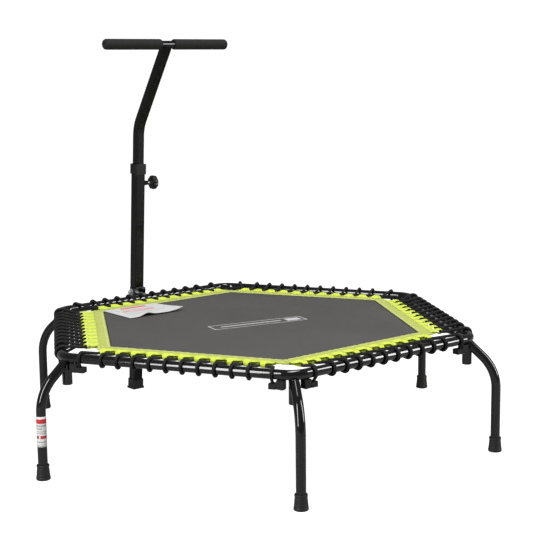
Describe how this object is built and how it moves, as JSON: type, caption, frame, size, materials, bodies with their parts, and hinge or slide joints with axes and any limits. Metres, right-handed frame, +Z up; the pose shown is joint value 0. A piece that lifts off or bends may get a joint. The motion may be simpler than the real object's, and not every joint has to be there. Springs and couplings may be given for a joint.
{
  "type": "mini trampoline",
  "caption": "Hexagonal mini trampoline with bungee-laced jumping mat, splayed legs with rubber feet and a height-adjustable T-handle on a square post.",
  "frame": {"origin": "middle of the floor plan, on the floor", "axes": "+Z up, +X towards a corner of the hexagon and along the handle bar, +Y towards the handle post"},
  "size_m": [1.4434, 1.2756, 1.1301],
  "materials": {
    "black_tube": "glossy black powder coat",
    "post_paint": "semi-gloss black powder coat",
    "zinc": "bright zinc plate",
    "foot_rubber": "matte black moulded rubber",
    "black_plastic": "fine-textured black plastic",
    "knob_plastic": "satin black moulded plastic",
    "pad_plastic": "natural nylon",
    "grip_foam": "matte charcoal foam",
    "mat_weave": "dark grey woven polypropylene",
    "band_webbing": "dull yellow-green woven band",
    "tab_webbing": "bright neon yellow webbing",
    "tag_cloth": "white coated cloth",
    "label_vinyl": "white vinyl label",
    "bungee": "black braided elastic cord"
  },
  "bodies": {
    "frame": {"frame_ring": "black_tube", "leg_spigots": "black_tube", "leg_1": "black_tube", "leg_2": "black_tube", "leg_3": "black_tube", "leg_4": "black_tube", "leg_5": "black_tube", "leg_6": "black_tube", "foot_1": "foot_rubber", "foot_2": "foot_rubber", "foot_3": "foot_rubber", "foot_4": "foot_rubber", "foot_5": "foot_rubber", "foot_6": "foot_rubber", "sleeve_plugs": "black_plastic", "leg_screws": "zinc", "post_bracket": "black_tube", "bracket_bolts": "zinc", "bracket_washers": "zinc", "bracket_nuts": "zinc", "handle_post": "post_paint", "post_foot": "foot_rubber", "post_collar": "black_plastic", "clamp_boss": "post_paint", "leg_label": "label_vinyl", "cord_1": "bungee", "cord_2": "bungee", "cord_3": "bungee", "cord_4": "bungee", "cord_5": "bungee", "cord_6": "bungee", "cord_clips": "black_plastic", "clip_screws": "zinc"},
    "handle": {"handle_slider": "post_paint", "slider_plug": "black_plastic", "handle_bar": "post_paint", "grip_left": "grip_foam", "grip_right": "grip_foam", "bar_plugs": "black_plastic"},
    "clamp_tip": {"clamp_pad": "pad_plastic"},
    "clamp": {"clamp_screw": "zinc", "clamp_knob": "knob_plastic"},
    "mat": {"jump_mat": "mat_weave", "edge_band": "band_webbing", "tabs_1": "tab_webbing", "tabs_2": "tab_webbing", "tabs_3": "tab_webbing", "tabs_4": "tab_webbing", "tabs_5": "tab_webbing", "tabs_6": "tab_webbing", "mat_tag": "tag_cloth"}
  },
  "joints": [
    {"name": "handle_height", "type": "slide", "parent": "frame", "child": "handle", "axis": [0, -0.068, 0.9977], "range_m": [-0.08, 0.16]},
    {"name": "clamp_travel", "type": "slide", "parent": "frame", "child": "clamp_tip", "axis": [1, 0, 0], "range_m": [0, 0.003]},
    {"name": "clamp_turn", "type": "hinge", "parent": "clamp_tip", "child": "clamp", "pos_m": [0.04, 0.57094, 0.67942], "axis": [1, 0, 0], "range_deg": [0, 720]},
    {"name": "mat_bounce", "type": "slide", "parent": "frame", "child": "mat", "axis": [0, 0, 1], "range_m": [-0.1, 0], "stiffness_N_per_m": 9000, "springref_m": 0.002, "deforming": ["cord_1", "cord_2", "cord_3", "cord_4", "cord_5", "cord_6"]}
  ],
  "couplings": [
    {"joint": "clamp_travel", "follows": "clamp_turn", "m_per_rad": 0.00023873}
  ]
}
